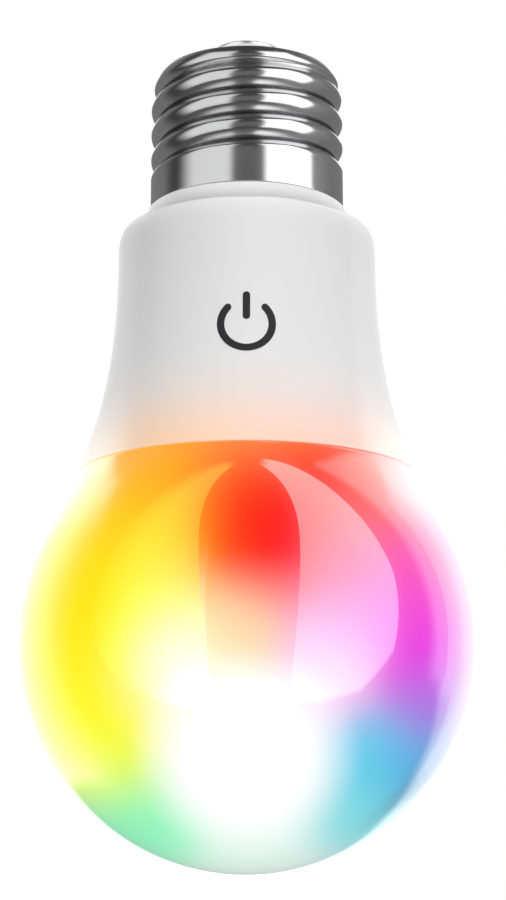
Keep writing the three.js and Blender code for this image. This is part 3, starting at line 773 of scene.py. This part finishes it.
def led(name, kind, window):
    # white package with a window on its face: of phosphor, or of four chips in clear resin
    shade = grained(name, "mask", 4000, 0.35, 0.01)
    x, y, z = shade.place()
    radial = shade.length(x, y) - circleOf(kind)
    lowest = span("white_led_1")[0][2]
    face = shade.step(-z, -lowest, -lowest + 0.05)
    inWindow = shade.band(radial, window, 0.1)
    if kind == "white":
        shade.paint(inWindow * face, (0.86, 0.66, 0.05, 1))
        return shade
    chips = shade.wave(radial, 1.1) * inWindow
    shade.paint(inWindow * face, (0.5, 0.52, 0.5, 1))
    shade.paint(shade.step(chips, 0.6, 0.75) * face, (0.12, 0.10, 0.3, 1))
    return shade

def bandedResistor():
    (cx, cy, cz), (hx, hy, hz) = middleOf("fusible_resistor")
    shade = grained("resistorPaint", "resistor", 1800, 0.4, 0.02, coat=0.3)
    x, y, z = shade.place()
    bands = ((-0.55, (0.5, 0.02, 0.02, 1)), (-0.25, (0.02, 0.02, 0.02, 1)), (0.05, (0.28, 0.1, 0.03, 1)),
             (0.55, (0.7, 0.45, 0.1, 1)))
    for place, colour in bands:
        shade.paint(shade.band(z - (cz + place * hz), 0.25), colour)
    return shade

def sleevedCan(node, side):
    # dark printed sleeve with a pale stripe down one side, and bare scored aluminium at the end
    (cx, cy, cz), (hx, hy, hz) = middleOf(node)
    shade = grained(node + "Sleeve", "sleeve", 1500, 0.3, 0.02, coat=0.4)
    x, y, z = shade.place()
    shade.paint(shade.step((x - cx) * side, hx * 0.72, hx * 0.76), (0.55, 0.56, 0.58, 1))
    away = shade.length(x - cx, y - cy)
    end = shade.step(z, cz + hz - 0.12, cz + hz - 0.06) * (1 - shade.step(away, hx * 0.8, hx * 0.84))
    score = shade.math("MAXIMUM", shade.band(x - cx, 0.125), shade.band(y - cy, 0.125))
    shade.paint(end, (0.7, 0.71, 0.73, 1))
    shade.paint(end * score, (0.25, 0.25, 0.26, 1))
    shade.set("Metallic", end)
    return shade

def packageEpoxy(node):
    # moulded epoxy with a round pip at one corner and tinned leads along two edges
    (cx, cy, cz), (hx, hy, hz) = middleOf(node)
    shade = grained(node + "Epoxy", "epoxy", 3000, 0.5, 0.03)
    x, y, z = shade.place()
    away = shade.length(x - cx + hx * 0.65, z - cz - hz * 0.6)
    shade.paint(1 - shade.step(away, 0.25, 0.32), (0.1, 0.1, 0.1, 1))
    outer = shade.step(shade.math("ABSOLUTE", x - cx), hx - 0.3, hx - 0.2)
    leads = shade.step(shade.wave(z - cz, 1.27), 0.5, 0.6) * outer
    shade.paint(leads, (0.62, 0.62, 0.62, 1))
    shade.set("Metallic", leads)
    return shade

def speckledPad():
    shade = grained("thermalPad", "pad", 2600, 0.75, 0.05)
    shade.paint(shade.step(shade.noise(9000, 1, 0.5), 0.62, 0.68), (0.6, 0.65, 0.7, 1))
    return shade

def crossHeadSteel():
    # both screws lie mirrored on X, so one cross serves the two
    shade = grained("screwSteel", "steel", 1800, 0.25, 0.02, 1.0)
    x, y, z = shade.place()
    cx, cy = middleOf("board_screw_right")[0][:2]
    head = span("board_screw_right")[0][2]
    over = shade.math("ABSOLUTE", shade.math("ABSOLUTE", x) - cx)
    cross = shade.math("MAXIMUM", shade.band(over, 0.25) * shade.band(y - cy, 1.0, 0.1),
                       shade.band(y - cy, 0.25) * (1 - shade.step(over, 0.9, 1.1)))
    # painted shade: the cross recess in each head is darkened nearly to black
    shade.paint(cross * shade.step(-z, -head - 0.2, -head), (0.03, 0.03, 0.03, 1))
    return shade

def lightBoardMask():
    # white solder mask with faint copper rings under the LEDs, on an aluminium core
    shade = grained("whiteSolderMask", "mask", 3000, 0.35, 0.02)
    x, y, z = shade.place()
    around = shade.length(x, y)
    ring = shade.math("MAXIMUM", shade.band(around - circleOf("white"), 0.6),
                      shade.band(around - circleOf("colour"), 0.6))
    shade.paint(ring * 0.25, (0.72, 0.5, 0.3, 1))
    face = span("led_board")[0][2]
    core = shade.step(z, face + 0.25, face + 0.3)
    shade.paint(core, (0.66, 0.67, 0.68, 1))
    shade.set("Metallic", core)
    return shade

def printedBox():
    shade = grained("filmBox", "film", 1200, 0.28, 0.02, coat=0.5)
    x, y, z = shade.place()
    (cx, cy, cz), (hx, hy, hz) = middleOf("film_capacitor")
    line = shade.band(z - (cz - hz * 0.5), 0.25) * shade.band(x - cx, hx * 0.7, 0.1)
    shade.paint(line, (0.1, 0.06, 0.02, 1))
    return shade

def woundDrum():
    shade = grained("drumWinding", "ferrite", 2200, 0.45, 0.04, coat=0.2)
    x, y, z = shade.place()
    (cx, cy, cz), (hx, hy, hz) = middleOf("choke_inductor")
    wound = shade.band(z - cz, hz * 0.7, 0.1)
    turns = shade.wave(z, 0.4)
    shade.paint(wound * (0.4 + 0.6 * turns), (0.6, 0.24, 0.1, 1))
    shade.bump(wound * turns + shade.relief, 0.5, 0.1)
    return shade

def windingTape():
    shade = grained("windingTape", "tape", 1500, 0.35, 0.02, coat=0.3)
    x, y, z = shade.place()
    up = z - middleOf("transformer_winding")[0][2]
    shade.paint(shade.step(shade.wave(up + 0.1 * shade.fine, 2.4), 0.9, 0.96), (0.5, 0.32, 0.02, 1))
    shade.bump(shade.wave(up, 2.4) + shade.relief, 0.3, 0.06)
    return shade

def slottedNylon():
    shade = grained("nylon", "nylon", 1500, 0.45, 0.03)
    x, y, z = shade.place()
    # painted shade: dark marks stand in for the shade inside the connector's slots
    shade.paint(shade.step(shade.wave(x, 2.0), 0.7, 0.8) * shade.band(y, 0.5, 0.1), (0.12, 0.11, 0.09, 1))
    return shade

def dimpledTin():
    shade = grained("tinPlate", "tin", 1200, 0.2, 0.03, 1.0)
    x, y, z = shade.place()
    shade.bump(shade.wave(x, 2.4) * shade.wave(z, 2.4) * 0.4 + shade.relief, 0.3, 0.06)
    return shade

def dressInside():
    # every piece inside the shell keeps its own shape and gets its own finish
    looks = {
        "heat_sink": grained("drawnAluminium", "sink", 1600, 0.3, 0.02, 1.0, (1, 1, 0.04)),
        "thermal_pad": speckledPad(),
        "adhesive_bead": grained("siliconeBead", "sealant", 900, 0.4, 0.12, coat=0.2),
        "board_screw": crossHeadSteel(),
        "led_board": lightBoardMask(),
        "white_led": led("whiteLed", "white", 1.05),
        "colour_led": led("colourLed", "colour", 1.05),
        "driver_board": tracks("greenSolderMask", "board", 2.6, (0.03, 0.24, 0.09, 1)),
        "radio_board": tracks("blueSolderMask", "radio", 1.5, (0.03, 0.09, 0.26, 1)),
        "radio_shield": dimpledTin(),
        "antenna": grained("goldTrace", "gold", 5000, 0.25, 0.01, 1.0),
        "input_capacitor": sleevedCan("input_capacitor", 1),
        "output_capacitor": sleevedCan("output_capacitor", -1),
        "film_capacitor": printedBox(),
        "fusible_resistor": bandedResistor(),
        "bridge_rectifier": packageEpoxy("bridge_rectifier"),
        "driver_chip": packageEpoxy("driver_chip"),
        "choke_inductor": woundDrum(),
        "transformer_core": grained("ferrite", "ferrite", 2200, 0.5, 0.05),
        "transformer_winding": windingTape(),
        "board_connector": slottedNylon(),
        "live_wire": grained("liveInsulation", "live", 2600, 0.4, 0.03, coat=0.2),
        "neutral_wire": grained("neutralInsulation", "neutral", 2600, 0.4, 0.03, coat=0.2),
    }
    for name, node in frame["nodes"].items():
        for start, shade in looks.items():
            if name.startswith(start):
                dress(node, shade.material)

dressInside()
print("inside dressed")

def direction(azimuth, elevation):
    # azimuth 0 is the camera's side (-Y), positive towards +X
    a, e = np.radians(azimuth), np.radians(elevation)
    return np.stack([np.sin(a) * np.cos(e), -np.cos(a) * np.cos(e), np.sin(e)], -1)

panelOutlines = {
    # from side to side: azimuth at the bottom, azimuth at the top, lowest elevation, highest elevation
    "capLeft": [(-90, -90, -34, 66), (-60, -60, -34, 66), (-14, -14, -34, 66)],
    "capRight": [(19, 19, -34, 66), (50, 50, -34, 66), (84, 84, -34, 66)],
    "capLowLeft": [(-90, -90, -86, -47), (-14, -14, -86, -47)],
    "capLowRight": [(19, 19, -86, -47), (84, 84, -86, -47)],
    "capBack": [(152, 152, 24, 62), (180, 180, 24, 62), (208, 208, 24, 62)],
    "left": [(-84, -88, 28, 86), (-76, -80, -8, 86), (-62, -70, -26, 86), (-42, -60, -35, 86),
             (-19, -52, -40, 86)],
    "lowLeft": [(-70, -80, -18, 50), (-44, -52, -35, 50), (-19, -22, -40, 50)],
    "right": [(23, 56, -36, 86), (42, 62, -34, 86), (62, 74, -25, 86), (76, 86, -6, 86), (82, 96, 24, 86)],
    "centre": [(-19, -27, -40, 40), (23, 31, -36, 40)],
    "back": [(98, 98, -12, 70), (112, 112, -12, 70), (132, 132, -26, 60), (155, 155, -26, 41),
             (180, 180, -12, 38), (205, 205, -14, 40), (235, 235, -40, 50), (272, 272, -50, 40)],
    "edge": [(117, 117, -12, 45), (128, 128, -10, 45), (140, 140, -25, 45), (158, 158, -14, 41)],
}
cap = [shell, contact, insulator]
panels = [
    # name, outline, strength, what it lights, and the shares over which it fades in from its first side, last
    # side, bottom and top
    ("capLeftPanel", "capLeft", 1.0, cap, (0.45, 0.08, 0, 0)),
    ("capRightPanel", "capRight", 1.8, cap, (0.08, 0.04, 0, 0)),
    ("capLowLeftPanel", "capLowLeft", 0.8, cap, (0.45, 0.08, 0, 0.3)),
    ("capLowRightPanel", "capLowRight", 1.4, cap, (0.08, 0.04, 0, 0.3)),
    ("capBackPanel", "capBack", 1.3, cap, (0.2, 0.2, 0.1, 0)),
    ("globeLeftPanel", "left", 2.2, [globe], (0.7, 0, 0, 0)),
    ("globeLowLeftPanel", "lowLeft", 3.9, [globe], (0.8, 0, 0, 1.0)),
    ("globeRightPanel", "right", 3.0, [globe], (0, 0, 0, 0)),
    ("globeCentrePanel", "centre", 1.3, [globe], (0, 0, 0, 0.35)),
    ("globeBackPanel", "back", 1.15, [globe], (0.12, 0.18, 0.1, 0.05)),
    ("globeEdgePanel", "edge", 0.6, [globe], (0, 0.4, 0.1, 0.05)),
    ("housingBackPanel", "back", 0.85, [housing], (0.15, 0.16, 0.05, 0.05)),
]
panelLook = {
    "rows": 33, "cols": 65, "distance": 700, "spacing": 6,   # no two panels lie on each other
    "white": (1, 1, 1, 1), "tints": {"globeLeftPanel": (1, 0.95, 0.14, 1)},
}

def lightPanel(look, name, outline, strength, receivers, fades):
    # A curved panel of light round the globe. Rays pass through it, and it lights only the reflections of its
    # receivers. Its sides lean with the cube of the height.
    distance = look["distance"] + look["spacing"] * len(bpy.data.objects)
    corners = np.array(panelOutlines[outline], float)
    s = np.linspace(0, 1, look["cols"])
    az, azTop, low, high = (np.interp(s, np.linspace(0, 1, len(corners)), corners[:, i]) for i in range(4))
    t = np.linspace(0, 1, look["rows"])[:, None]
    aim = direction(az[None] + (azTop - az)[None] * t ** 3, low[None] + (high - low)[None] * t)
    points = aim * distance + [0, 0, globeCentre]
    cols = look["cols"]
    r, c = np.meshgrid(np.arange(look["rows"] - 1), np.arange(cols - 1), indexing="ij")
    quads = np.stack([r * cols + c, r * cols + c + 1, (r + 1) * cols + c + 1, (r + 1) * cols + c], -1)
    panel = makeMesh(name, points.reshape(-1, 3), quads.reshape(-1, 4))
    first, last, bottom, top = (max(f, 1e-6) for f in fades)
    fade = smooth(s / first)[None] * smooth((1 - s) / last)[None] * smooth(t / bottom) * smooth((1 - t) / top)
    fade[:, 0], fade[:, -1] = fade[:, 1], fade[:, -2]
    data = panel.data.attributes.new("fade", "FLOAT", "POINT")
    data.data.foreach_set("value", fade.astype(np.float32).ravel())
    shade = Shade(name + "Light")
    level = Value(shade, shade.node("ShaderNodeAttribute", {"attribute_name": "fade"}).outputs["Fac"])
    tint = look["tints"].get(name, look["white"])
    glow = shade.node("ShaderNodeEmission", sockets={"Color": tint, "Strength": level * strength})
    clear = shade.node("ShaderNodeBsdfTransparent")
    both = shade.node("ShaderNodeAddShader", sockets={0: glow.outputs[0], 1: clear.outputs[0]})
    shade.feed(shade.output.inputs["Surface"], both.outputs[0])
    dress(panel, shade.material)
    panel.visible_camera = False
    panel.visible_shadow = False
    panel.visible_diffuse = False
    group = bpy.data.collections.new(name + "Receivers")
    for receiver in receivers:
        group.objects.link(receiver)
    panel.light_linking.receiver_collection = group

lamps = {                    # azimuth, elevation, distance, size and power of each soft lamp
    "frontLamp": (15, 12, 600, 500, 1.56),
    "topLamp": (10, 72, 600, 400, 1.1),
}

def softLight(name, azimuth, elevation, distance, size, power):
    data = bpy.data.lights.new(name, "AREA")
    data.shape = "SQUARE"
    data.size = size * mm
    data.energy = power
    lamp = bpy.data.objects.new(name, data)
    aim = direction(azimuth, elevation)
    lamp.location = tuple((aim * distance + [0, 0, studioLook["aimHeight"]]) * mm)
    lamp.rotation_euler = Vector(tuple(aim)).to_track_quat("Z", "Y").to_euler()
    lamp.visible_glossy = False
    lamp.visible_camera = False
    bpy.context.scene.collection.objects.link(lamp)

studioLook = {
    "fill": 0.48,                                      # what lights the matt surfaces from all round
    "front": 0.17, "left": 0.06, "right": 0.32, "back": 0.24, "under": 0.12,   # what the metal mirrors
    "aimHeight": -60.0,                                # the lamps point at this height on the axis
    "floorLevel": -330.0, "floorReach": 9000.0, "floorGlow": 0.3,
}

def whiteStudio(look):
    # World: white behind the object, a moderate fill for diffuse rays, and a darker one for reflections
    world = bpy.data.worlds.new("studio")
    bpy.context.scene.world = world
    world.use_nodes = True
    sky = Tree(world.node_tree)
    path = sky.node("ShaderNodeLightPath")
    coords = sky.node("ShaderNodeTexCoord")
    split = sky.node("ShaderNodeSeparateXYZ", sockets={0: coords.outputs["Generated"]})
    x, y, z = (Value(sky, split.outputs[i]) for i in range(3))
    side = look["left"] + (look["right"] - look["left"]) * sky.step(x, 0.3, 0.9)
    front = sky.step(-y, 0.8, 0.96)
    back = sky.step(y, 0.1, 0.5)
    mirrored = (side * (1 - front) * (1 - back) + look["front"] * front + look["back"] * back
                + look["under"] * sky.step(-z, 0.5, 0.9))
    white = (1, 1, 1, 1)
    seen, fill, mirror = (sky.node("ShaderNodeBackground", sockets={"Color": white, "Strength": strength})
                          for strength in (1.0, look["fill"], mirrored))
    lit = sky.node("ShaderNodeMixShader", sockets={0: path.outputs["Is Glossy Ray"],
                                                   1: fill.outputs[0], 2: mirror.outputs[0]})
    full = sky.node("ShaderNodeMixShader", sockets={0: path.outputs["Is Camera Ray"],
                                                    1: lit.outputs[0], 2: seen.outputs[0]})
    sky.node("ShaderNodeOutputWorld", sockets={"Surface": full.outputs[0]})

def paleFloor(look):
    size, level = look["floorReach"], look["floorLevel"]
    points = np.array([[-size, -size, level], [size, -size, level],
                       [size, size, level], [-size, size, level]])
    floor = makeMesh("floor", points, [[0, 1, 2, 3]])
    shade = Shade("floorPaint", Roughness=0.9, Emission_Color=(1, 1, 1, 1),
                  Emission_Strength=look["floorGlow"])
    shade.set("Base Color", shade.mix(shade.noise(6, 2, 0.5), (0.86, 0.86, 0.86, 1), (0.9, 0.9, 0.9, 1)))
    dress(floor, shade.material)
    floor.visible_glossy = False
    floor.visible_diffuse = False

whiteStudio(studioLook)
paleFloor(studioLook)
for panel in panels:
    lightPanel(panelLook, *panel)
for name, lamp in lamps.items():
    softLight(name, *lamp)
bpy.context.scene.view_settings.view_transform = "Standard"
print("studio made")
